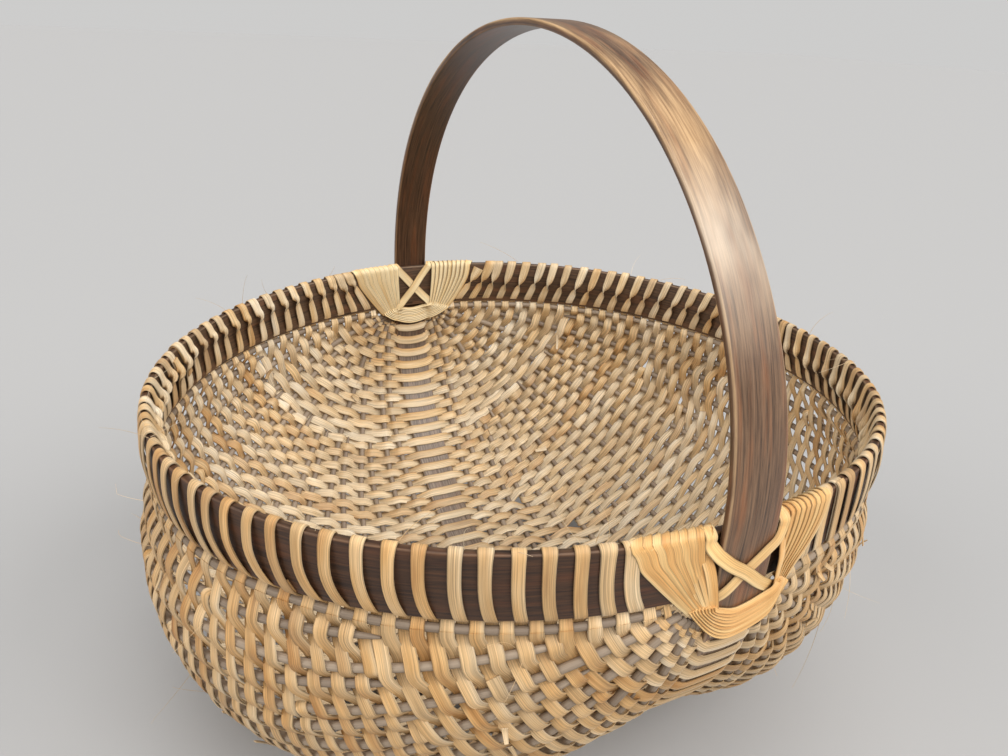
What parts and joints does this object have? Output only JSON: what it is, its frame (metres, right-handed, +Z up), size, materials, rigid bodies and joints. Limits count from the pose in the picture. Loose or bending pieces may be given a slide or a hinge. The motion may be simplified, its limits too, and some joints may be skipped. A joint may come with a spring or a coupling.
{
  "type": "ribbed basket",
  "caption": "Round-ribbed splint basket with two bulging cheeks, a wrapped rim hoop, lashed ears and a fixed flat carrying hoop.",
  "frame": {"origin": "on the floor under the middle of the basket, centre of the bounding box in X and Y", "axes": "+Z up, X along the carrying hoop from the back ear to the front ear, Y across the two cheeks, the left cheek at -Y"},
  "size_m": [0.4728, 0.5278, 0.481],
  "materials": {
    "handle_wood": "dark worn oak, dull sheen",
    "rim_wood": "dark stained oak, matte",
    "rib_wood": "weathered grey-brown round ribs, matte",
    "weaver_splint": "golden flat splint, dry and matte",
    "lashing_splint": "pale flat splint, dry and matte"
  },
  "bodies": {
    "root": {"handle_hoop": "handle_wood", "rim_hoop": "rim_wood", "rib_left_01": "rib_wood", "rib_left_02": "rib_wood", "rib_left_03": "rib_wood", "rib_left_04": "rib_wood", "rib_left_05": "rib_wood", "rib_left_06": "rib_wood", "rib_left_07": "rib_wood", "rib_left_08": "rib_wood", "rib_left_09": "rib_wood", "rib_left_10": "rib_wood", "rib_left_11": "rib_wood", "rib_left_12": "rib_wood", "rib_left_13": "rib_wood", "rib_left_14": "rib_wood", "rib_left_15": "rib_wood", "rib_left_16": "rib_wood", "rib_left_17": "rib_wood", "rib_left_18": "rib_wood", "rib_right_01": "rib_wood", "rib_right_02": "rib_wood", "rib_right_03": "rib_wood", "rib_right_04": "rib_wood", "rib_right_05": "rib_wood", "rib_right_06": "rib_wood", "rib_right_07": "rib_wood", "rib_right_08": "rib_wood", "rib_right_09": "rib_wood", "rib_right_10": "rib_wood", "rib_right_11": "rib_wood", "rib_right_12": "rib_wood", "rib_right_13": "rib_wood", "rib_right_14": "rib_wood", "rib_right_15": "rib_wood", "rib_right_16": "rib_wood", "rib_right_17": "rib_wood", "rib_right_18": "rib_wood", "weave_left": "weaver_splint", "weave_right": "weaver_splint", "ear_lashing_front": "lashing_splint", "ear_lashing_back": "lashing_splint", "ear_cross_front_under": "lashing_splint", "ear_cross_front_over": "lashing_splint", "ear_cross_back_under": "lashing_splint", "ear_cross_back_over": "lashing_splint"}
  },
  "joints": []
}
